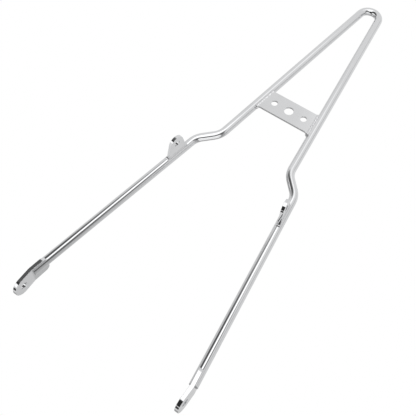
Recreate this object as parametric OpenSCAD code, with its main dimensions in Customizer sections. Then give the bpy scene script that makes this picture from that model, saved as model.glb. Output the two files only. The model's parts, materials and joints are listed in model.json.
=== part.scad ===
// Sissy bar: one round bar bent into a narrow hoop, with a drilled cross
// plate, two strut tabs and two end tabs welded to it, all chromed.
// X runs across the motorbike, Z runs up along the bar and the strut tabs
// point along -Y. The origin is the middle of the lower bolt line, which
// passes through the holes of both end tabs.

/* [Bar] */
// Diameter of the round bar
bar_d = 12.7; // [11:0.1:14]
// Radius of the bar's centreline in the hairpin bend at the top
hairpin_radius = 16.5; // [14:0.5:24]
// Radius of the bar's centreline in the offset bends of each leg
offset_radius = 30; // [20:1:34]
// How much thinner the bar is drawn in its bends
bend_draw = 0.1; // [0.06:0.02:0.3]
// Distance from the bolt line forward to the centre plane of the bar
bar_forward = 6; // [0:0.5:8]

/* [Hoop shape] */
// Height of the point where the centrelines of the upper legs would meet
meeting_rise = 815; // [700:5:900]
// Height of the lower offset bend, where the straight centrelines meet
lower_bend_rise = 326; // [300:1:350]
// Spacing of the centrelines at the lower offset bends
lower_bend_spacing = 174; // [164:1:184]
// Height that each leg gains over its offset, from bend to bend
offset_rise = 27; // [24:1:32]
// Distance that each leg moves inward over its offset, from bend to bend
offset_shift = 26.5; // [23:0.5:30]

/* [End tabs] */
// Spacing of the end tabs, from mid-thickness to mid-thickness
bolt_spacing = 268; // [240:1:290]
// Thickness of the end tabs
end_tab_t = 5.5; // [4.4:0.1:6.4]
// Diameter of the bolt hole in each end tab
end_hole_d = 10.4; // [8:0.1:13]
// Radius of the round lower end about the bolt hole
end_tab_radius = 15; // [12:0.5:17]
// Height of the top edge of the end tabs
end_tab_top = 45; // [40:1:55]
// Distance from the bolt line forward to the front edge at the top
end_tab_front = 16; // [14:0.5:18]
// Distance from the bolt line back to the rear edge at the top
end_tab_rear = 12; // [9:0.5:15]
// Radius of the two top corners
end_tab_corner = 8; // [4:0.5:9]
// Height of the slight bend that turns the tab upright
tab_bend_rise = 19; // [17:0.5:20]
// Radius of that bend at mid-thickness
tab_bend_radius = 20; // [8:1:40]
// Distance from the bend up the leg to the cut end of the bar
bar_end_gap = 2.5; // [1:0.5:5]

/* [Strut tabs] */
// Thickness of the strut tabs
strut_tab_t = 4.8; // [4:0.1:6]
// Distance from the lower offset bend down to the bolt holes of the strut tabs
strut_hole_drop = 39; // [32:1:90]
// Distance from the centre of the bar forward to the bolt hole
strut_hole_reach = 27.5; // [24:0.5:34]
// Diameter of the bolt hole in each strut tab
strut_hole_d = 9; // [6:0.1:11]
// Radius of the round tip about the bolt hole
strut_tip_radius = 12; // [9:0.5:13]
// Length of the tab where it meets the bar
strut_base = 36; // [30:1:44]

/* [Cross plate] */
// Height of the centre of the cross plate
plate_rise = 445; // [420:5:560]
// Height of the plate from its lower edge to its upper edge
plate_h = 37.5; // [32:0.5:42]
// Thickness of the plate
plate_t = 3.2; // [2.6:0.1:5]
// Diameter of the large hole in the middle
lamp_hole_d = 14.5; // [10:0.5:20]
// Diameter of the two smaller holes
side_hole_d = 10; // [6:0.5:11]
// Distance between the two smaller holes
side_hole_spacing = 52; // [46:1:54]

/* [Welds] */
// Radius of the beads that fill the grooves at the front of the cross plate
groove_bead_r = 3.6; // [3.2:0.1:4.2]
// How far those beads stand proud of the plate's face
groove_bead_proud = 1.2; // [0.6:0.1:1.5]
// Distance from the bar's edge in to the middle of those beads
groove_bead_inset = 0.8; // [0.4:0.1:1.6]
// Radius of the fillet beads along the tabs and behind the cross plate
fillet_bead_r = 1.8; // [1.4:0.1:2.2]

/* [Hidden] */
$fn = 64;
chrome = [0.80, 0.81, 0.83];
bead_chrome = [0.72, 0.73, 0.75];
left = -1;
right = 1;
bar_r = bar_d / 2;
// Root gap left between a plate's edge and the bar for the weld
root_gap = 0.1;
// How far a cutting shape reaches past what it cuts
past = 5;
// How much thinner the bead across the end of a tab is drawn
end_bead_draw = 0.1;
// How far the full bar runs on into the thinner bends
run_in = 0.5;
// How far a straight edge lies inside the tangent of the round corners
tuck = 0.01;
tab_x = bolt_spacing / 2;
lower_x = lower_bend_spacing / 2;
upper_x = lower_x - offset_shift;
upper_bend_rise = lower_bend_rise + offset_rise;
strut_hole_rise = lower_bend_rise - strut_hole_drop;
lower_lean = atan((tab_x - lower_x) / (lower_bend_rise - tab_bend_rise));
upper_lean = atan(upper_x / (meeting_rise - upper_bend_rise));
foot = [
    tab_x - bar_end_gap * sin(lower_lean),
    tab_bend_rise + bar_end_gap * cos(lower_lean)
];
// Distances along a leg, from the cut end of the bar up
strut_along = (strut_hole_rise - foot[1]) / cos(lower_lean);
end_tab_along = (end_tab_top - foot[1]) / cos(lower_lean);
// Height along an upper leg, from the upper bend to the cross plate
plate_along = (plate_rise - upper_bend_rise) / cos(upper_lean);
plate_front = -bar_r;
plate_back = plate_front + plate_t;
// Distance from the leg's centreline at which the plate's rear edge meets it
plate_end = sqrt(bar_r * bar_r - plate_back * plate_back) + root_gap;
// Corners of the centreline in X and Z, with the bend radius at each
route = [
    [-foot[0], foot[1], 0],
    [-lower_x, lower_bend_rise, offset_radius],
    [-upper_x, upper_bend_rise, offset_radius],
    [0, meeting_rise, hairpin_radius],
    [upper_x, upper_bend_rise, offset_radius],
    [lower_x, lower_bend_rise, offset_radius],
    [foot[0], foot[1], 0]
];

function flat(p) = [p[0], p[1]];
function unit(v) = v / norm(v);
function heading(v) = atan2(v[1], v[0]);
// Signed turn at corner i, positive from X towards Z
function turn(i) =
    let (a = unit(flat(route[i]) - flat(route[i - 1])))
    let (b = unit(flat(route[i + 1]) - flat(route[i])))
    atan2(a[0] * b[1] - a[1] * b[0], a[0] * b[0] + a[1] * b[1]);
function has_bend(i) = i > 0 && i < len(route) - 1;
// Length that the bend takes from each straight beside it
function setback(i) = route[i][2] * tan(abs(turn(i)) / 2);
// Length that a straight gives up at corner i
function give(i) = has_bend(i) ? setback(i) - run_in : 0;

// Puts its children in the frame of the centre plane of the bar
module in_bar_plane() {
    translate([0, -bar_forward, 0]) children();
}

// Mirrors its children to the left or leaves them on the right
module on_side(side) {
    if (side == right) children();
    if (side == left) mirror([1, 0, 0]) children();
}

// Frame of the lower leg: +Z up the leg, +X outward, origin at its cut end
module on_lower_leg() {
    in_bar_plane()
        translate([foot[0], 0, foot[1]])
            rotate([0, -lower_lean, 0]) children();
}

// Frame of the upper leg: +Z up the leg, +X outward, origin at the bend
module on_upper_leg() {
    in_bar_plane()
        translate([upper_x, 0, upper_bend_rise])
            rotate([0, -upper_lean, 0]) children();
}

// Straight stretch of the bar between corners i and i + 1
module bar_straight(i) {
    a = flat(route[i]);
    b = flat(route[i + 1]);
    along = unit(b - a);
    start = a + along * give(i);
    translate([start[0], 0, start[1]])
        rotate([0, atan2(along[0], along[1]), 0])
            cylinder(h = norm(b - a) - give(i) - give(i + 1), d = bar_d);
}

// Bend of the bar at corner i
module bar_bend(i) {
    along = unit(flat(route[i]) - flat(route[i - 1]));
    way = sign(turn(i));
    inward = [-along[1], along[0]] * way;
    centre = flat(route[i]) - along * setback(i) + inward * route[i][2];
    first = heading(-inward);
    translate([centre[0], 0, centre[1]])
        rotate([90, 0, 0])
            rotate_extrude(angle = abs(turn(i)), start = way > 0 ? first : first + turn(i))
                translate([route[i][2], 0]) circle(d = bar_d - bend_draw);
}

// Convex outline round a list of circles [x, y, radius], anticlockwise
function edge_normal(a, b) =
    heading(flat(b) - flat(a)) - acos((a[2] - b[2]) / norm(flat(b) - flat(a)));
function touch(c, angle) = flat(c) + (c[2] - tuck) * [cos(angle), sin(angle)];
module round_outline(circles) {
    count = len(circles);
    corners = [
        for (i = [0 : count - 1])
            let (next = circles[(i + 1) % count], n = edge_normal(circles[i], next))
            each [touch(circles[i], n), touch(next, n)]
    ];
    polygon(corners);
    for (c = circles) translate(flat(c)) circle(r = c[2]);
}

// Side view of an end tab, in Y and Z
module end_tab_outline() {
    corner_y = end_tab_top - end_tab_corner;
    round_outline([
        [0, 0, end_tab_radius],
        [end_tab_rear - end_tab_corner, corner_y, end_tab_corner],
        [end_tab_corner - end_tab_front, corner_y, end_tab_corner]
    ]);
}

// Front view of an end tab, in X and Z: upright below, along the leg above
module end_tab_profile() {
    centre = [
        tab_x - tab_bend_radius,
        tab_bend_rise - tab_bend_radius * tan(lower_lean / 2)
    ];
    steps = 6;
    below = [0, -centre[1] - end_tab_radius - past];
    above = end_tab_top * [-sin(lower_lean), cos(lower_lean)];
    arc = [for (i = [0 : steps]) let (a = lower_lean * i / steps) [cos(a), sin(a)]];
    outer = [for (p = arc) centre + (tab_bend_radius + end_tab_t / 2) * p];
    inner = [for (p = arc) centre + (tab_bend_radius - end_tab_t / 2) * p];
    polygon([
        outer[0] + below,
        each outer,
        outer[steps] + above,
        inner[steps] + above,
        for (i = [0 : steps]) inner[steps - i],
        inner[0] + below
    ]);
}

// One end tab on the right, without its hole
module end_tab_blank() {
    intersection() {
        translate([0, end_tab_front + past, 0])
            rotate([90, 0, 0])
                linear_extrude(2 * (end_tab_front + past)) end_tab_profile();
        rotate([90, 0, 90])
            linear_extrude(tab_x + end_tab_t + past) end_tab_outline();
    }
}

module end_tab(side) {
    color(chrome) on_side(side) difference() {
        end_tab_blank();
        translate([tab_x - end_tab_t, 0, 0])
            rotate([0, 90, 0]) cylinder(h = 2 * end_tab_t, d = end_hole_d);
    }
}

// Side view of a strut tab in the leg's frame, in Y and Z
module strut_tab_outline() {
    base_r = 1;
    base_y = -bar_r / 2;
    half = strut_base / 2 - base_r;
    round_outline([
        [base_y, strut_along - half, base_r],
        [base_y, strut_along + half, base_r],
        [-strut_hole_reach, strut_along, strut_tip_radius]
    ]);
}

module strut_tab_blank() {
    on_lower_leg() translate([-strut_tab_t / 2, 0, 0])
        rotate([90, 0, 90]) linear_extrude(strut_tab_t) strut_tab_outline();
}

module strut_tab(side) {
    color(chrome) on_side(side) difference() {
        strut_tab_blank();
        on_lower_leg() {
            translate([0, 0, strut_along - strut_base])
                cylinder(h = 2 * strut_base, d = bar_d);
            translate([-strut_tab_t, -strut_hole_reach, strut_along])
                rotate([0, 90, 0]) cylinder(h = 2 * strut_tab_t, d = strut_hole_d);
        }
    }
}

module hoop_bar() {
    color(chrome) difference() {
        in_bar_plane() {
            for (i = [0 : len(route) - 2]) bar_straight(i);
            for (i = [1 : len(route) - 2]) bar_bend(i);
        }
        for (side = [left, right]) on_side(side) end_tab_blank();
    }
}

// Half width of the cross plate at a height
function plate_half(z) =
    (meeting_rise - z) * tan(upper_lean) - plate_end / cos(upper_lean);

module plate_hole(x, d) {
    translate([x, plate_back + past, plate_rise])
        rotate([90, 0, 0]) cylinder(h = plate_t + 2 * past, d = d);
}

module cross_plate() {
    low = plate_rise - plate_h / 2;
    high = plate_rise + plate_h / 2;
    color(chrome) in_bar_plane() difference() {
        translate([0, plate_back, 0])
            rotate([90, 0, 0])
                linear_extrude(plate_t)
                    polygon([
                        [-plate_half(low), low], [plate_half(low), low],
                        [plate_half(high), high], [-plate_half(high), high]
                    ]);
        plate_hole(0, lamp_hole_d);
        plate_hole(-side_hole_spacing / 2, side_hole_d);
        plate_hole(side_hole_spacing / 2, side_hole_d);
    }
}

// Straight bead with round ends along Z
module bead(x, y, low, high, r) {
    translate([x, y, low]) {
        cylinder(h = high - low, r = r);
        sphere(r = r);
        translate([0, 0, high - low]) sphere(r = r);
    }
}

// Bead across the end of a tab, a little thinner than those that it joins
module end_bead(reach, y, z, r) {
    translate([-reach, y, z])
        rotate([0, 90, 0]) cylinder(h = 2 * reach, r = r - end_bead_draw);
}

// The bar along a leg, as a cutter that keeps the beads out of it
module leg_cutter(low, high) {
    translate([0, 0, low - 2 * past]) cylinder(h = high - low + 4 * past, d = bar_d);
}

module plate_welds(side) {
    half = plate_h / 2 / cos(upper_lean);
    low = plate_along - half;
    high = plate_along + half;
    groove_floor = plate_front + plate_t / 2;
    color(bead_chrome) on_side(side) difference() {
        on_upper_leg() difference() {
            union() {
                intersection() {
                    bead(
                        groove_bead_inset - bar_r,
                        plate_front - groove_bead_proud + groove_bead_r,
                        low, high, groove_bead_r
                    );
                    translate([-bar_d, groove_floor - bar_d, low - bar_d])
                        cube([2 * bar_d, bar_d, high - low + 2 * bar_d]);
                }
                bead(
                    -plate_end - fillet_bead_r / 2,
                    plate_back + fillet_bead_r / 2,
                    low, high, fillet_bead_r
                );
            }
            leg_cutter(low, high);
        }
        cross_plate();
    }
}

module strut_tab_welds(side) {
    low = strut_along - strut_base / 2;
    high = strut_along + strut_base / 2;
    reach = strut_tab_t / 2 + fillet_bead_r / 3;
    color(bead_chrome) on_side(side) difference() {
        on_lower_leg() difference() {
            union() {
                for (face = [-1, 1]) bead(face * reach, -bar_r, low, high, fillet_bead_r);
                for (end = [low, high]) end_bead(reach, -bar_r, end, fillet_bead_r);
            }
            leg_cutter(low, high);
        }
        strut_tab_blank();
    }
}

module end_tab_welds(side) {
    low = fillet_bead_r / 2;
    high = end_tab_along - fillet_bead_r;
    reach = end_tab_t / 2 + fillet_bead_r / 3;
    color(bead_chrome) on_side(side) difference() {
        on_lower_leg() difference() {
            for (face = [-1, 1], edge = [-bar_r, bar_r])
                bead(face * reach, edge, low, high, fillet_bead_r);
            cylinder(h = end_tab_top, d = bar_d);
        }
        end_tab_blank();
    }
}

hoop_bar();
cross_plate();
strut_tab(left);  // left_strut_tab
strut_tab(right);  // right_strut_tab
end_tab(left);  // left_end_tab
end_tab(right);  // right_end_tab
plate_welds(left);  // left_plate_welds
plate_welds(right);  // right_plate_welds
strut_tab_welds(left);  // left_strut_tab_welds
strut_tab_welds(right);  // right_strut_tab_welds
end_tab_welds(left);  // left_end_tab_welds
end_tab_welds(right);  // right_end_tab_welds
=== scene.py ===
"""Looks of a chromed sissy bar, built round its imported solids.

The bar itself is the solid from the frame. The plates are copies of their
solids with deburred edges. The welds are rippled beads beside the cross plate
and hollow fillets that sweep from the tabs out to the bar. Lengths are in
metres, in the frame of the solids.
"""

import json
import math
import random

import bpy
from bpy.props import FloatProperty, FloatVectorProperty, IntProperty, PointerProperty
from mathutils import Euler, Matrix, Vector


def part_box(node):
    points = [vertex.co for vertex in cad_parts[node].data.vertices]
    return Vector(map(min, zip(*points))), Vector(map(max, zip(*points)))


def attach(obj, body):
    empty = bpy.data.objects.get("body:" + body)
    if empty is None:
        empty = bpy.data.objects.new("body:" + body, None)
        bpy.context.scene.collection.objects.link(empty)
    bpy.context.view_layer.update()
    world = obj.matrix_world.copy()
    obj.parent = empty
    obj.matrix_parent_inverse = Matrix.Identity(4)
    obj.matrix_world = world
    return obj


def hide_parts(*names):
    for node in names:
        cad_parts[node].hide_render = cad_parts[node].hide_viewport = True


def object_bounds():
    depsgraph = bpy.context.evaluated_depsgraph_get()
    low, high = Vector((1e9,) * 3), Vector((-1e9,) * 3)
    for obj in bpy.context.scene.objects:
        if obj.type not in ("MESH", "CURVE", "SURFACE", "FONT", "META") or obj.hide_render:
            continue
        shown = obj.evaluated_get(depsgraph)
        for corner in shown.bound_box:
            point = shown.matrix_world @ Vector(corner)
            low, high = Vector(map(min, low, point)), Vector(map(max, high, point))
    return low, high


bl_info = {
    "name": "Sissy bar",
    "version": (1, 0, 0),
    "blender": (4, 5, 0),
    "location": "View3D > Sidebar > Sissy bar",
    "description": "Builds the looks of a chromed sissy bar round its solids",
    "category": "Object",
}

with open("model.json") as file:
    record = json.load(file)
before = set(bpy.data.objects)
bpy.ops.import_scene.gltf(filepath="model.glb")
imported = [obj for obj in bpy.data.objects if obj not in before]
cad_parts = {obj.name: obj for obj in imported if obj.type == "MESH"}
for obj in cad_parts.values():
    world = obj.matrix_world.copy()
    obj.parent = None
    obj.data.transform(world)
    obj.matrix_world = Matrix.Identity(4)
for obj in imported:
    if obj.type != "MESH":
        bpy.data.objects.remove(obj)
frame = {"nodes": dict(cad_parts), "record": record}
CAD_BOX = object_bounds()
NODES = frame["nodes"]
MOUNTS = {mount["name"]: mount for mount in frame["record"]["mounts"]}

MM = 0.001
SIDES = {"left": -1, "right": 1}


# Shader nodes


class Socket:
    """A node's output that can be used in sums."""

    def __init__(self, shader, link):
        self.shader = shader
        self.link = link

    def math(self, operation, *others):
        inputs = dict(enumerate((self, *others)))
        return self.shader.node("ShaderNodeMath", {"operation": operation}, inputs)

    def __add__(self, other):
        return self.math("ADD", other)

    def __sub__(self, other):
        return self.math("SUBTRACT", other)

    def __mul__(self, other):
        return self.math("MULTIPLY", other)

    def __rsub__(self, other):
        return self.shader.node("ShaderNodeMath", {"operation": "SUBTRACT"}, {0: other, 1: self})

    __radd__ = __add__
    __rmul__ = __mul__

    def step(self, low, high):
        """0 below low, 1 above high and smooth between; high may be the lower one."""
        return self.shader.node(
            "ShaderNodeMapRange",
            {"interpolation_type": "SMOOTHSTEP"},
            {"Value": self, "From Min": low, "From Max": high},
        )


class Shader:
    """The node tree of a new material or of the world."""

    def __init__(self, owner):
        owner.use_nodes = True
        self.tree = owner.node_tree
        self.tree.nodes.clear()

    def node(self, kind, settings=None, inputs=None, output=0):
        """Adds a node, applies its settings and then its inputs, and returns one output."""
        node = self.tree.nodes.new(kind)
        for key, value in (settings or {}).items():
            setattr(node, key, value)
        for key, value in (inputs or {}).items():
            if isinstance(value, Socket):
                self.tree.links.new(value.link, node.inputs[key])
            else:
                node.inputs[key].default_value = value
        if not node.outputs:
            return None
        return Socket(self, node.outputs[output])

    def place(self, scale=(1, 1, 1), turn=(0, 0, 0)):
        """Object coordinates, turned and scaled."""
        coordinates = self.node("ShaderNodeTexCoord", output="Object")
        return self.node(
            "ShaderNodeMapping",
            {"vector_type": "TEXTURE"},
            {"Vector": coordinates, "Rotation": turn, "Scale": scale},
        )

    def noise(self, vector, scale, detail=2.0, roughness=0.5):
        return self.node(
            "ShaderNodeTexNoise",
            None,
            {"Vector": vector, "Scale": scale, "Detail": detail, "Roughness": roughness},
        )

    def mix_colour(self, factor, first, second):
        return self.node(
            "ShaderNodeMix",
            {"data_type": "RGBA"},
            {"Factor": factor, "A": first, "B": second},
            "Result",
        )

    def axes(self, vector):
        split = self.node("ShaderNodeSeparateXYZ", None, {"Vector": vector})
        outputs = split.link.node.outputs
        return [Socket(self, outputs[axis]) for axis in "XYZ"]

    def metal(self, colour, roughness, normal):
        """Ends a material with a metal surface."""
        surface = self.node(
            "ShaderNodeBsdfPrincipled",
            None,
            {"Base Color": colour, "Metallic": 1.0, "Roughness": roughness, "Normal": normal},
        )
        self.node("ShaderNodeOutputMaterial", None, {"Surface": surface})


# Materials

# How much longer than wide the polishing marks are, and how they lie
MARK_STRETCH = 14
MARK_TURN = (0.3, 0.5, 0)
# Height of the marks beside that of the waviness
MARK_HEIGHT = 0.002
# Spans of their noise over which haze, marks, pits and bright patches set in
HAZE_SPAN = (0.42, 0.72)
MARK_SPAN = (0.55, 0.8)
PIT_SPAN = (0.62, 0.74)
PATCH_SPAN = (0.35, 0.65)
# Share of the haze in the chrome's colour, the rest being fine grain
HAZE_SHARE = 0.8
# Roughness that haze, marks and grain add
HAZE_ROUGHNESS = 0.03
MARK_ROUGHNESS = 0.04
GRAIN_ROUGHNESS = 0.02
# Roughness that dull patches and pits add to a weld, and the pits' depth
DULL_ROUGHNESS = 0.10
PIT_ROUGHNESS = 0.15
PIT_DEPTH = 0.3


def new_material(name):
    """A new material and the shader that fills it."""
    material = bpy.data.materials.new(name)
    return material, Shader(material)


def chrome(name, finish):
    """Polished chrome with faint clouding, fine polishing marks and a soft waviness."""
    material, shader = new_material(name)
    place = shader.place()
    along = shader.place(scale=(1, 1, MARK_STRETCH), turn=MARK_TURN)
    cloud = shader.noise(place, 1 / finish.cloud_size, detail=3)
    grain = shader.noise(place, 1 / finish.grain_size, detail=4, roughness=0.6)
    marks = shader.noise(along, 1 / finish.grain_size, detail=2)
    wave = shader.noise(place, 1 / finish.wave_size, detail=1)
    haze = cloud.step(*HAZE_SPAN)
    bump = shader.node(
        "ShaderNodeBump",
        None,
        {"Height": wave + marks * MARK_HEIGHT, "Distance": finish.wave_depth},
    )
    cloudy = haze * HAZE_SHARE + grain * (1 - HAZE_SHARE)
    scratched = marks.step(*MARK_SPAN) * MARK_ROUGHNESS
    shader.metal(
        shader.mix_colour(cloudy, finish.polished, finish.hazy),
        finish.polish + haze * HAZE_ROUGHNESS + scratched + grain * GRAIN_ROUGHNESS,
        bump,
    )
    return material


def chromed_weld(name, finish, depth):
    """Chrome over a weld: rougher, mottled, and dull in its pits, which are dented and rougher,
    with painted shade darkening their colour.
    """
    material, shader = new_material(name)
    place = shader.place()
    mottle = shader.noise(place, 1 / finish.mottle_size, detail=3, roughness=0.6)
    pits = shader.noise(place, 1 / finish.pit_size, detail=2).step(*PIT_SPAN)
    bump = shader.node(
        "ShaderNodeBump",
        None,
        {"Height": mottle - pits * PIT_DEPTH, "Distance": depth},
    )
    patch = mottle.step(*PATCH_SPAN)
    # The pits' dent and roughness are real; their dark colour below is painted shade in the
    # hollows
    skin = shader.mix_colour(patch, finish.dull, finish.bright)
    shader.metal(
        shader.mix_colour(pits, skin, finish.painted_pit_shade),
        finish.polish + (1 - patch) * DULL_ROUGHNESS + pits * PIT_ROUGHNESS,
        bump,
    )
    return material


# Meshes

# Points of a solid this close are one, and faces this nearly level are joined
MERGE_DISTANCE = 0.002 * MM
LEVEL_ANGLE = math.radians(0.3)
# An edge is rounded over from this angle
CUT_ANGLE = math.radians(40)
# Angles up to which plates and welds are shaded smooth
PLATE_SMOOTH_ANGLE = math.radians(30)
WELD_SMOOTH_ANGLE = math.radians(50)
# Faces across a rounded edge
EDGE_SEGMENTS = 3
# How far a point of a rim may lie off the bore
RIM_TOLERANCE = 0.05 * MM


def select_only(*pieces):
    bpy.ops.object.select_all(action="DESELECT")
    for piece in pieces:
        piece.select_set(True)
    bpy.context.view_layer.objects.active = pieces[0]


def modify(piece, kind, **settings):
    """Adds a modifier, sets it and applies it."""
    select_only(piece)
    modifier = piece.modifiers.new(kind.title(), kind)
    for key, value in settings.items():
        setattr(modifier, key, value)
    bpy.ops.object.modifier_apply(modifier=modifier.name)


def copy_of(node):
    """A copy of a node's solid, selected."""
    piece = bpy.data.objects.new("copy", NODES[node].data.copy())
    bpy.context.scene.collection.objects.link(piece)
    select_only(piece)
    return piece


def name_piece(piece, name):
    piece.name = name
    piece.data.name = name


def finish_piece(piece, material, slot, *nodes):
    """Gives a piece its material and its place in the frame."""
    piece.data.materials.clear()
    piece.data.materials.append(material)
    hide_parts(*nodes)
    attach(piece, "root")


def on_rim(point, bore):
    """Tells whether a point lies on the wall of a bore."""
    centre, axis, radius = bore
    away = (point - centre).cross(axis).length
    return abs(away - radius) < RIM_TOLERANCE


def deburred(node, edge_width, rim_width):
    """A copy of a plate's solid with its cut edges and its holes' rims rounded over."""
    piece = copy_of(node)
    bpy.ops.mesh.customdata_custom_splitnormals_clear()
    bpy.ops.object.mode_set(mode="EDIT")
    bpy.ops.mesh.select_all(action="SELECT")
    bpy.ops.mesh.remove_doubles(threshold=MERGE_DISTANCE)
    bpy.ops.mesh.dissolve_limited(angle_limit=LEVEL_ANGLE)
    bpy.ops.mesh.select_all(action="DESELECT")
    bpy.ops.mesh.select_mode(type="EDGE")
    bpy.ops.mesh.edges_select_sharp(sharpness=CUT_ANGLE)
    bpy.ops.object.mode_set(mode="OBJECT")
    mesh = piece.data
    weights = mesh.attributes.new("bevel_weight_edge", "FLOAT", "EDGE")
    for edge in mesh.edges:
        if not edge.select:
            continue
        ends = [mesh.vertices[index].co for index in edge.vertices]
        rim = any(all(on_rim(end, bore) for end in ends) for bore in BORES)
        weights.data[edge.index].value = 1 if rim else edge_width / rim_width
    modify(piece, "BEVEL", width=rim_width, segments=EDGE_SEGMENTS, limit_method="WEIGHT")
    bpy.ops.object.shade_smooth_by_angle(angle=PLATE_SMOOTH_ANGLE)
    modify(piece, "WEIGHTED_NORMAL", keep_sharp=True, weight=100)
    return piece


# Places taken from the solids


def corners(node):
    return [vertex.co for vertex in NODES[node].data.vertices]


BAR_LOW, BAR_HIGH = (Vector(corner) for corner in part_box("hoop_bar"))
BAR_RADIUS = (BAR_HIGH.y - BAR_LOW.y) / 2
BAR_Y = (BAR_HIGH.y + BAR_LOW.y) / 2
PLATE_LOW, PLATE_HIGH = (Vector(corner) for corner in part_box("cross_plate"))
STRUT_HOLE = MOUNTS["right_strut_hole"]
STRUT_TAB_THICKNESS = STRUT_HOLE["dims"]["length_mm"] * MM
# The upright part of an end tab, about its bolt hole
END_TAB_FOOT = [corner.x for corner in corners("right_end_tab") if corner.z < 0]
END_TAB_THICKNESS = max(END_TAB_FOOT) - min(END_TAB_FOOT)


def bores():
    """The axis and the radius of each bolt hole."""
    found = []
    for mount in MOUNTS.values():
        dims = mount["dims"]
        radius = dims.get("r_mm", dims.get("hole_r_mm")) * MM
        spread = dims.get("spacing_x_mm", 0) * MM / 2
        for side in (-1, 1) if spread else (0,):
            centre = Vector(mount["pos_m"]) + Vector((side * spread, 0, 0))
            found.append((centre, Vector(mount["axis"]).normalized(), radius))
    return found


BORES = bores()
# How far the hidden cores of a weld lie below the surfaces that it joins, which
# is a little more than the solids' flats cut in from the true round
SUNK = 0.16 * MM


class Leg:
    """A straight stretch of one leg: a point of its centreline, and up, out and front."""

    def __init__(self, side, x, z, up_x, up_z):
        self.point = Vector((side * x, BAR_Y, z))
        self.up = Vector((side * up_x, 0, up_z)).normalized()
        self.out = Vector((side * up_z, 0, -up_x)).normalized()
        self.turn = (0, math.atan2(self.up.x, self.up.z), 0)

    def at(self, out, front, along):
        """A point out from the centreline, in front of it, and up along it."""
        return self.point + self.out * out - Vector((0, front, 0)) + self.up * along

    def reach(self, node):
        """The lowest and highest place of a node along the leg."""
        heights = [(corner - self.point).dot(self.up) for corner in corners(node)]
        return min(heights), max(heights)


def lower_leg(side):
    """The leg beside the strut tab, whose hole lies square to it."""
    x, _, z = STRUT_HOLE["pos_m"]
    tilt = STRUT_HOLE["axis"]
    return Leg(side, x, z, -tilt[2], tilt[0])


def upper_leg(side):
    """The leg beside the cross plate, parallel to the plate's end."""
    low = max(corner.x for corner in corners("cross_plate") if corner.z < PLATE_LOW.z + MM)
    high = max(corner.x for corner in corners("cross_plate") if corner.z > PLATE_HIGH.z - MM)
    depth = PLATE_HIGH.y - BAR_Y
    slope = Vector((high - low, PLATE_HIGH.z - PLATE_LOW.z)).normalized()
    centre = low + math.sqrt(BAR_RADIUS**2 - depth**2) / slope.y
    return Leg(side, centre, PLATE_LOW.z, slope.x, slope.y)


# Welds

# Sides of the rods, of the hollows and of the puddles that make up the welds
ROD_SIDES = 96
HOLLOW_SIDES = 128
PUDDLE_SIDES = 20
PUDDLE_RINGS = 12
# Share of the way to its neighbours that a round of smoothing moves a point
SMOOTHING = 0.5
# Seeds of the puddles' differences
PLATE_SEED = 7
STRUT_SEED = 19


def bead(start, end, radius, welds, draw):
    """A row of overlapping puddles from start to end, each a little different."""
    run = end - start
    count = max(2, round(run.length / welds.ripple_pitch))
    turn = run.to_track_quat("Z", "Y") @ Euler((welds.ripple_lean, 0, 0)).to_quaternion()
    puddles = []
    for step in range(count + 1):
        size = radius * (1 + welds.ripple_swell * draw.uniform(-1, 1))
        bpy.ops.mesh.primitive_uv_sphere_add(
            segments=PUDDLE_SIDES,
            ring_count=PUDDLE_RINGS,
            radius=size,
            location=start + run * step / count,
            rotation=turn.to_euler(),
            scale=(1, 1, welds.ripple_flatness),
        )
        puddles.append(bpy.context.object)
    return puddles


def rod(leg, low, high):
    """The stretch of the bar that a weld runs into, just below its surface."""
    bpy.ops.mesh.primitive_cylinder_add(
        vertices=ROD_SIDES,
        radius=BAR_RADIUS - SUNK,
        depth=high - low,
        location=leg.at(0, 0, (low + high) / 2),
        rotation=leg.turn,
    )
    return bpy.context.object


def slab(leg, outs, fronts, alongs):
    """The stretch of a plate that a weld runs into, just below its faces."""
    spans = [sorted(span) for span in (outs, fronts, alongs)]
    bpy.ops.mesh.primitive_cube_add(
        size=1,
        location=leg.at(*[(low + high) / 2 for low, high in spans]),
        rotation=leg.turn,
        scale=[high - low - 2 * SUNK for low, high in spans],
    )
    return bpy.context.object


def flared(leg, node, thickness, bend, ways):
    """A copy of a tab swept out to the bar's sides in hollow curves, and their reach.

    The curves are tangent to the tab's faces and to the bar, and lie in front
    of it, behind it or both.
    """
    half = thickness / 2 - SUNK
    bar = BAR_RADIUS - SUNK
    reach = math.sqrt((bar + bend) ** 2 - (half + bend) ** 2)
    touch = bar * (half + bend) / (bar + bend)
    piece = copy_of(node)
    back = Euler(leg.turn).to_quaternion().inverted()
    piece.rotation_euler = back.to_euler()
    piece.location = back @ -leg.point
    bpy.ops.object.transform_apply(location=True, rotation=True, scale=True)
    piece.rotation_euler = leg.turn
    piece.location = leg.point
    piece.scale.x = 2 * touch / thickness
    bpy.ops.object.transform_apply(location=True, rotation=True, scale=True)
    low, high = leg.reach(node)
    for out in (-half - bend, half + bend):
        for way in ways:
            bpy.ops.mesh.primitive_cylinder_add(
                vertices=HOLLOW_SIDES,
                radius=bend,
                depth=2 * (high - low),
                location=leg.at(out, way * reach, (low + high) / 2),
                rotation=leg.turn,
            )
            cutter = bpy.context.object
            modify(piece, "BOOLEAN", operation="DIFFERENCE", solver="EXACT", object=cutter)
            bpy.data.objects.remove(cutter)
    return piece, reach


def melted(lumps, welds, rounds, name):
    """Runs lumps together, with smooth fillets in the corners between them."""
    select_only(*lumps)
    bpy.ops.object.join()
    piece = bpy.context.object
    bpy.ops.object.transform_apply(location=True, rotation=True, scale=True)
    modify(piece, "REMESH", mode="VOXEL", voxel_size=welds.fineness, use_smooth_shade=True)
    modify(piece, "SMOOTH", factor=SMOOTHING, iterations=rounds)
    select_only(piece)
    bpy.ops.object.shade_smooth()
    name_piece(piece, name)
    return piece


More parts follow.
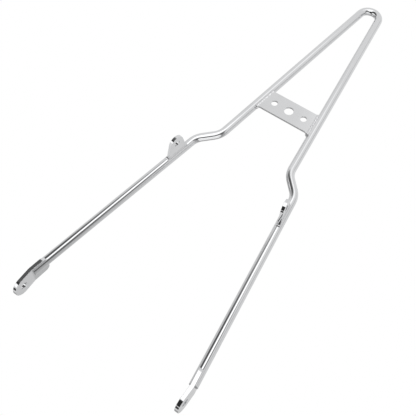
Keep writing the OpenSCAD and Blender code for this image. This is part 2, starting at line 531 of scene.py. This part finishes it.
def kept_within(piece, region):
    """Keeps what lies within a closed region, and removes the region."""
    modify(piece, "BOOLEAN", operation="INTERSECT", solver="EXACT", object=region)
    bpy.data.objects.remove(region)
    select_only(piece)
    bpy.ops.object.shade_smooth_by_angle(angle=WELD_SMOOTH_ANGLE)


# Sizes and colours


def colour(name, description, default):
    return FloatVectorProperty(
        name=name,
        description=description,
        subtype="COLOR",
        size=4,
        min=0,
        max=1,
        default=(*default, 1),
    )


def length(name, description, default):
    return FloatProperty(
        name=name,
        description=description,
        subtype="DISTANCE",
        unit="LENGTH",
        min=0,
        precision=5,
        default=default,
    )


def share(name, description, default):
    return FloatProperty(
        name=name, description=description, subtype="FACTOR", min=0, max=1, default=default
    )


def rounds(name, description, default):
    return IntProperty(name=name, description=description, min=0, default=default)


class ChromeFinish(bpy.types.PropertyGroup):
    polished: colour("Polished", "Colour of well polished chrome", (0.80, 0.805, 0.815))
    hazy: colour("Hazy", "Colour of chrome with a faint haze on it", (0.755, 0.76, 0.77))
    polish: share("Polish", "Roughness of the best polished chrome", 0.05)
    cloud_size: length("Cloud size", "Size of the hazy clouds", 45 * MM)
    grain_size: length("Grain size", "Width of the polishing marks", 0.9 * MM)
    wave_size: length("Wave size", "Length of the waviness left by polishing", 38 * MM)
    wave_depth: length("Wave depth", "Depth of that waviness", 0.25 * MM)


class PlateSizes(bpy.types.PropertyGroup):
    plate_edge: length("Cross plate edges", "Width of their rounding", 0.5 * MM)
    strut_edge: length("Strut tab edges", "Width of their rounding", 1.0 * MM)
    end_edge: length("End tab edges", "Width of their rounding", 0.5 * MM)
    rim: length("Hole rims", "Width of the rounding on the rims of the holes", 1.0 * MM)


class WeldSizes(bpy.types.PropertyGroup):
    groove_radius: length("Groove bead", "Radius of the beads beside the cross plate", 3.6 * MM)
    groove_inset: length("Groove bead inset", "From the bar's edge in to that bead", 0.8 * MM)
    groove_proud: length("Groove bead height", "How far it stands proud of the plate", 0.6 * MM)
    fillet_radius: length("Fillet bead", "Radius of the other beads", 1.8 * MM)
    strut_flare: length("Strut tab flare", "Radius of the hollow out to the bar", 12 * MM)
    end_flare: length("End tab flare", "Radius of the hollow out to the bar", 3.2 * MM)
    ripple_pitch: length("Ripple pitch", "Distance from ripple to ripple", 1.9 * MM)
    ripple_flatness: share("Ripple flatness", "Length of a puddle over its width", 0.85)
    ripple_swell: share("Ripple swell", "How much the puddles differ in size", 0.05)
    ripple_lean: FloatProperty(
        name="Ripple lean",
        description="How far the puddles lean over",
        subtype="ANGLE",
        default=math.radians(24),
    )
    fineness: length("Fineness", "Grid on which the puddles run together", 0.36 * MM)
    plate_rounds: rounds("Plate smoothing", "Rounds of smoothing of the beads at the plate", 16)
    tab_rounds: rounds("Strut tab smoothing", "Rounds of smoothing at the strut tabs", 14)
    slot_rounds: rounds("End tab smoothing", "Rounds of smoothing at the end tabs", 10)


class WeldFinish(bpy.types.PropertyGroup):
    bright: colour("Bright", "Colour of the crests", (0.82, 0.82, 0.83))
    dull: colour("Dull", "Colour of the duller patches", (0.68, 0.685, 0.70))
    # Dark colour of the pits, which is painted shade in their hollows
    painted_pit_shade: colour("Pits", "Colour of the pits", (0.38, 0.38, 0.39))
    polish: share("Polish", "Roughness of the crests", 0.10)
    mottle_size: length("Mottling", "Size of the duller patches", 3.2 * MM)
    plate_mottle: length("Plate unevenness", "Depth of the uneven beads at the plate", 0.12 * MM)
    tab_mottle: length("Tab unevenness", "Depth of the uneven fillets at the tabs", 0.03 * MM)
    pit_size: length("Pit size", "Distance between pits", 1.1 * MM)


class StageSettings(bpy.types.PropertyGroup):
    floor: colour("Floor", "Colour of the floor", (0.82, 0.82, 0.81))
    floor_drop: length("Floor drop", "From the part's lowest point down to the floor", 0.24)
    card_distance: length("Card distance", "From the part to the card before it", 1.27)
    card_size: length("Card size", "Length of the card's sides", 12.0)


PROPERTIES = {
    "chrome_finish": ChromeFinish,
    "plate_sizes": PlateSizes,
    "weld_sizes": WeldSizes,
    "weld_finish": WeldFinish,
    "stage_settings": StageSettings,
}


# Operators


class SISSYBAR_OT_bar(bpy.types.Operator):
    """Chrome the bent bar"""

    bl_idname = "sissybar.bar"
    bl_label = "Hoop bar"

    def execute(self, context):
        material = chrome("bar chrome", context.scene.chrome_finish)
        for slot in NODES["hoop_bar"].material_slots:
            slot.material = material
        return {"FINISHED"}


class SISSYBAR_OT_cross_plate(bpy.types.Operator):
    """Add the drilled cross plate"""

    bl_idname = "sissybar.cross_plate"
    bl_label = "Cross plate"

    def execute(self, context):
        scene = context.scene
        sizes = scene.plate_sizes
        piece = deburred("cross_plate", sizes.plate_edge, sizes.rim)
        name_piece(piece, "drilled_cross_plate")
        material = chrome("plate chrome", scene.chrome_finish)
        finish_piece(piece, material, "plate_chrome", "cross_plate")
        return {"FINISHED"}


class SISSYBAR_OT_tabs(bpy.types.Operator):
    """Add the two strut tabs and the two end tabs"""

    bl_idname = "sissybar.tabs"
    bl_label = "Tabs"

    def execute(self, context):
        scene = context.scene
        sizes = scene.plate_sizes
        material = chrome("tab chrome", scene.chrome_finish)
        for side in SIDES:
            for kind, edge in (("strut", sizes.strut_edge), ("end", sizes.end_edge)):
                node = f"{side}_{kind}_tab"
                piece = deburred(node, edge, sizes.rim)
                name_piece(piece, f"{side}_{kind}_lug")
                finish_piece(piece, material, "tab_chrome", node)
        return {"FINISHED"}


class SISSYBAR_OT_plate_welds(bpy.types.Operator):
    """Lay the beads in front of and behind the ends of the cross plate"""

    bl_idname = "sissybar.plate_welds"
    bl_label = "Plate welds"

    def execute(self, context):
        scene = context.scene
        welds = scene.weld_sizes
        finish = scene.weld_finish
        material = chromed_weld("plate weld chrome", finish, finish.plate_mottle)
        draw = random.Random(PLATE_SEED)
        radius = welds.fillet_radius
        run_on = 2 * radius
        # How far the plate's core runs in from the bar, and how much of that stays
        core = 3 * radius
        kept = 2.5 * radius
        depth = BAR_Y - PLATE_HIGH.y
        edge = math.sqrt(BAR_RADIUS**2 - depth**2)
        face = BAR_Y - PLATE_LOW.y
        front = face + welds.groove_proud - welds.groove_radius
        for side, sign in SIDES.items():
            leg = upper_leg(sign)
            top = (PLATE_HIGH.z - PLATE_LOW.z) / leg.up.z
            groove = welds.groove_inset - BAR_RADIUS
            back = (-edge - radius / 2, depth - radius / 2)
            lumps = [
                rod(leg, -run_on, top + run_on),
                slab(leg, (-edge - core, -edge), (depth, face), (0, top)),
                *bead(
                    leg.at(groove, front, 0),
                    leg.at(groove, front, top),
                    welds.groove_radius,
                    welds,
                    draw,
                ),
                *bead(leg.at(*back, 0), leg.at(*back, top), radius, welds, draw),
            ]
            piece = melted(lumps, welds, welds.plate_rounds, f"{side}_plate_beads")
            region = slab(
                leg,
                (-edge - kept, 0),
                (-BAR_RADIUS, BAR_RADIUS + radius),
                (-run_on, top + run_on),
            )
            kept_within(piece, region)
            finish_piece(piece, material, "weld_chrome", f"{side}_plate_welds")
        return {"FINISHED"}


class SISSYBAR_OT_strut_tab_welds(bpy.types.Operator):
    """Sweep the strut tabs out to the bar in hollow fillets"""

    bl_idname = "sissybar.strut_tab_welds"
    bl_label = "Strut tab welds"

    def execute(self, context):
        scene = context.scene
        welds = scene.weld_sizes
        finish = scene.weld_finish
        material = chromed_weld("strut tab weld chrome", finish, finish.tab_mottle)
        draw = random.Random(STRUT_SEED)
        radius = welds.fillet_radius
        run_on = 2 * radius
        out = STRUT_TAB_THICKNESS / 2
        for side, sign in SIDES.items():
            leg = lower_leg(sign)
            node = f"{side}_strut_tab_welds"
            low, high = leg.reach(node)
            tab = f"{side}_strut_tab"
            flare, reach = flared(leg, tab, STRUT_TAB_THICKNESS, welds.strut_flare, (1,))
            lumps = [rod(leg, low - run_on, high + run_on), flare]
            for end in (low + radius, high - radius):
                places = [leg.at(way * out, BAR_RADIUS - radius / 3, end) for way in (1, -1)]
                lumps += bead(*places, radius, welds, draw)
            piece = melted(lumps, welds, welds.tab_rounds, f"{side}_strut_tab_beads")
            region = slab(
                leg,
                (-BAR_RADIUS, BAR_RADIUS),
                (BAR_RADIUS / 4, reach + SUNK),
                (low - radius, high + radius),
            )
            kept_within(piece, region)
            finish_piece(piece, material, "weld_chrome", node)
        return {"FINISHED"}


class SISSYBAR_OT_end_tab_welds(bpy.types.Operator):
    """Sweep the end tabs out to the slotted ends of the bar in hollow fillets"""

    bl_idname = "sissybar.end_tab_welds"
    bl_label = "End tab welds"

    def execute(self, context):
        scene = context.scene
        welds = scene.weld_sizes
        finish = scene.weld_finish
        material = chromed_weld("end tab weld chrome", finish, finish.tab_mottle)
        for side, sign in SIDES.items():
            leg = lower_leg(sign)
            node = f"{side}_end_tab_welds"
            low, high = leg.reach(node)
            foot = low + welds.fillet_radius / 2
            tab = f"{side}_end_tab"
            flare, reach = flared(leg, tab, END_TAB_THICKNESS, welds.end_flare, (1, -1))
            lumps = [rod(leg, foot, high), flare]
            piece = melted(lumps, welds, welds.slot_rounds, f"{side}_end_tab_beads")
            region = slab(leg, (-BAR_RADIUS, BAR_RADIUS), (-reach, reach), (foot, high))
            kept_within(piece, region)
            finish_piece(piece, material, "weld_chrome", node)
        return {"FINISHED"}


# Light of the bare card, and a place past its edges
CARD_LIGHT = 0.80
FAR = 9.0
# Soft-edged patches of the card that the chrome sees, painted one over the
# other: left, right, low, high, softness of the edges, and light
CARD_PATCHES = (
    (-FAR, FAR, -FAR, 0.90, 0.15, 0.30),
    (-FAR, FAR, -FAR, 0.58, 0.20, 0.11),
    (0.76, 1.45, -FAR, 0.72, 0.14, 0.20),
    (-FAR, -2.9, -FAR, FAR, 0.70, 0.58),
    (3.6, FAR, -1.00, FAR, 0.60, 0.48),
    (0.12, 0.72, 0.95, 1.58, 0.15, 1.10),
    (-FAR, FAR, -FAR, -3.60, 0.20, 0.80),
    (-1.50, 1.80, -FAR, -0.36, 0.12, 0.03),
    (1.80, FAR, -FAR, 0.02, 0.10, 1.20),
    (-FAR, -0.85, -3.60, -0.98, 0.10, 1.25),
    (-0.185, 0.635, -0.20, 1.05, 0.05, 1.40),
)
# How fast the ceiling's edge falls to the right, and the window leans to the left
CEILING_TILT = 0.11
WINDOW_LEAN = 0.30


def card_material(name):
    """A glowing card, painted with the bright and dark forms of a room."""
    material, shader = new_material(name)
    across, _, height = shader.axes(shader.place())
    x = across + height.math("MAXIMUM", 0) * WINDOW_LEAN
    z = height + across * CEILING_TILT
    light = CARD_LIGHT
    for left, right, low, high, soft, patch in CARD_PATCHES:
        inside = (
            x.step(left - soft, left + soft)
            * x.step(right + soft, right - soft)
            * z.step(low - soft, low + soft)
            * z.step(high + soft, high - soft)
        )
        light = light + (patch - light) * inside
    glow = shader.node("ShaderNodeEmission", None, {"Color": (1, 1, 1, 1), "Strength": light})
    shader.node("ShaderNodeOutputMaterial", None, {"Surface": glow})
    return material


# The floor's darker mottling: its colour, its share and its clouds in a metre
FLOOR_MOTTLE = (0.78, 0.78, 0.77, 1)
FLOOR_MOTTLE_SHARE = 0.3
FLOOR_CLOUDS = 9
FLOOR_ROUGHNESS = 0.9


def floor_material(name, tint):
    material, shader = new_material(name)
    mottle = shader.noise(shader.place(), FLOOR_CLOUDS, detail=4)
    shade = shader.mix_colour(mottle * FLOOR_MOTTLE_SHARE, tint, FLOOR_MOTTLE)
    surface = shader.node(
        "ShaderNodeBsdfPrincipled", None, {"Base Color": shade, "Roughness": FLOOR_ROUGHNESS}
    )
    shader.node("ShaderNodeOutputMaterial", None, {"Surface": surface})
    return material


# Light of the room, and what its walls and its ceiling add to it
ROOM_LIGHT = 0.38
WALL_LIGHT = 0.36
CEILING_LIGHT = 0.08
# What the ground adds to it, what it adds again on the right, and how much
# higher it reaches there
GROUND_LIGHT = 0.44
GROUND_GAIN = 0.25
GROUND_RISE = 0.28
# What a dark pool on the ground, at the part's foot, takes from it
POOL_DARKNESS = 0.76


def studio_world():
    """White to the camera; to everything else a pale room with a bright ground.

    Each step runs between two values of a unit direction's part to the right,
    to the back or up.
    """
    world = bpy.data.worlds.new("studio")
    bpy.context.scene.world = world
    shader = Shader(world)
    direction = shader.node("ShaderNodeTexCoord", output="Generated")
    right, back, height = shader.axes(direction)
    walls = height.step(-0.2, 0.35) * WALL_LIGHT
    room = walls + height.step(0.3, 0.9) * CEILING_LIGHT + ROOM_LIGHT
    level = height - right.step(0.3, 0.7) * GROUND_RISE
    ground = level.step(-0.50, -0.60) * back.step(0.78, 0.5)
    room = room + ground * (right.step(0.1, 0.5) * GROUND_GAIN + GROUND_LIGHT)
    pool = right.step(-0.52, -0.49) * right.step(0.15, 0.05) * height.step(-0.55, -0.65)
    pool = pool * back.step(-0.11, -0.06) * back.step(0.40, 0.30)
    room = room - pool * POOL_DARKNESS
    path = shader.node("ShaderNodeLightPath", output="Is Camera Ray")
    light = room + (1 - room) * path
    glow = shader.node("ShaderNodeBackground", None, {"Color": (1, 1, 1, 1), "Strength": light})
    shader.node("ShaderNodeOutputWorld", None, {"Surface": glow})


def soft_light(name, location, target, size, power):
    """A large square lamp that the chrome doesn't show."""
    lamp = bpy.data.lights.new(name, "AREA")
    lamp.size = size
    lamp.energy = power
    piece = bpy.data.objects.new(name, lamp)
    bpy.context.scene.collection.objects.link(piece)
    piece.location = location
    aim = Vector(target) - Vector(location)
    piece.rotation_euler = aim.to_track_quat("-Z", "Y").to_euler()
    piece.visible_glossy = False


FLOOR_SIZE = 8
# Name, place, size and power of each lamp
LAMPS = (
    ("key", (-0.9, -1.4, 2.2), 1.4, 20),
    ("fill", (1.5, -0.6, 1.6), 1.6, 10),
)
# The photograph's camera, fitted to the part's edges, bends and holes: its
# place, its turn in degrees and its lens in millimetres
CAMERA_PLACE = (0.31574, -0.90704, -0.19376)
CAMERA_TURN = (120.598, -35.905, 0.264)
CAMERA_LENS = 64.613
CAMERA_RANGE = 20


class SISSYBAR_OT_stage(bpy.types.Operator):
    """Set up the floor, the card, the lights and the camera"""

    bl_idname = "sissybar.stage"
    bl_label = "Stage"

    def execute(self, context):
        stage = context.scene.stage_settings
        low, high = (Vector(corner) for corner in CAD_BOX)
        middle = (low + high) / 2

        level = low.z - stage.floor_drop
        bpy.ops.mesh.primitive_plane_add(size=FLOOR_SIZE, location=(0, 0, level))
        floor = context.object
        floor.name = "floor"
        floor.data.materials.append(floor_material("pale floor", stage.floor))
        floor.visible_glossy = False

        bpy.ops.mesh.primitive_plane_add(size=stage.card_size, rotation=(math.pi / 2, 0, 0))
        bpy.ops.object.transform_apply(rotation=True)
        card = context.object
        card.name = "card"
        card.location = (0, BAR_Y - stage.card_distance, 0)
        bpy.ops.object.transform_apply(location=True)
        card.data.materials.append(card_material("card light"))
        card.visible_camera = False
        card.visible_diffuse = False
        card.visible_shadow = False

        studio_world()
        for name, place, size, power in LAMPS:
            soft_light(name, place, middle, size, power)

        lens = bpy.data.cameras.new("camera")
        lens.lens = CAMERA_LENS
        lens.clip_end = CAMERA_RANGE
        camera = bpy.data.objects.new("camera", lens)
        context.scene.collection.objects.link(camera)
        camera.location = CAMERA_PLACE
        camera.rotation_euler = [math.radians(angle) for angle in CAMERA_TURN]
        context.scene.camera = camera
        context.scene.view_settings.view_transform = "Standard"
        return {"FINISHED"}


OPERATORS = (
    SISSYBAR_OT_bar,
    SISSYBAR_OT_cross_plate,
    SISSYBAR_OT_tabs,
    SISSYBAR_OT_plate_welds,
    SISSYBAR_OT_strut_tab_welds,
    SISSYBAR_OT_end_tab_welds,
    SISSYBAR_OT_stage,
)


class SISSYBAR_PT_panel(bpy.types.Panel):
    bl_idname = "SISSYBAR_PT_panel"
    bl_label = "Sissy bar"
    bl_space_type = "VIEW_3D"
    bl_region_type = "UI"
    bl_category = "Sissy bar"

    def draw(self, context):
        layout = self.layout
        for operator in OPERATORS:
            layout.operator(operator.bl_idname)
        for name, group in PROPERTIES.items():
            box = layout.box()
            box.label(text=name.replace("_", " ").capitalize())
            for key in group.__annotations__:
                box.prop(getattr(context.scene, name), key)


CLASSES = (*PROPERTIES.values(), *OPERATORS, SISSYBAR_PT_panel)


def register():
    for each in CLASSES:
        bpy.utils.register_class(each)
    for name, group in PROPERTIES.items():
        setattr(bpy.types.Scene, name, PointerProperty(type=group))


def unregister():
    for name in PROPERTIES:
        delattr(bpy.types.Scene, name)
    for each in reversed(CLASSES):
        bpy.utils.unregister_class(each)


def main():
    register()
    bpy.ops.sissybar.bar()
    bpy.ops.sissybar.cross_plate()
    bpy.ops.sissybar.tabs()
    bpy.ops.sissybar.plate_welds()
    bpy.ops.sissybar.strut_tab_welds()
    bpy.ops.sissybar.end_tab_welds()
    bpy.ops.sissybar.stage()


if __name__ == "__main__":
    main()
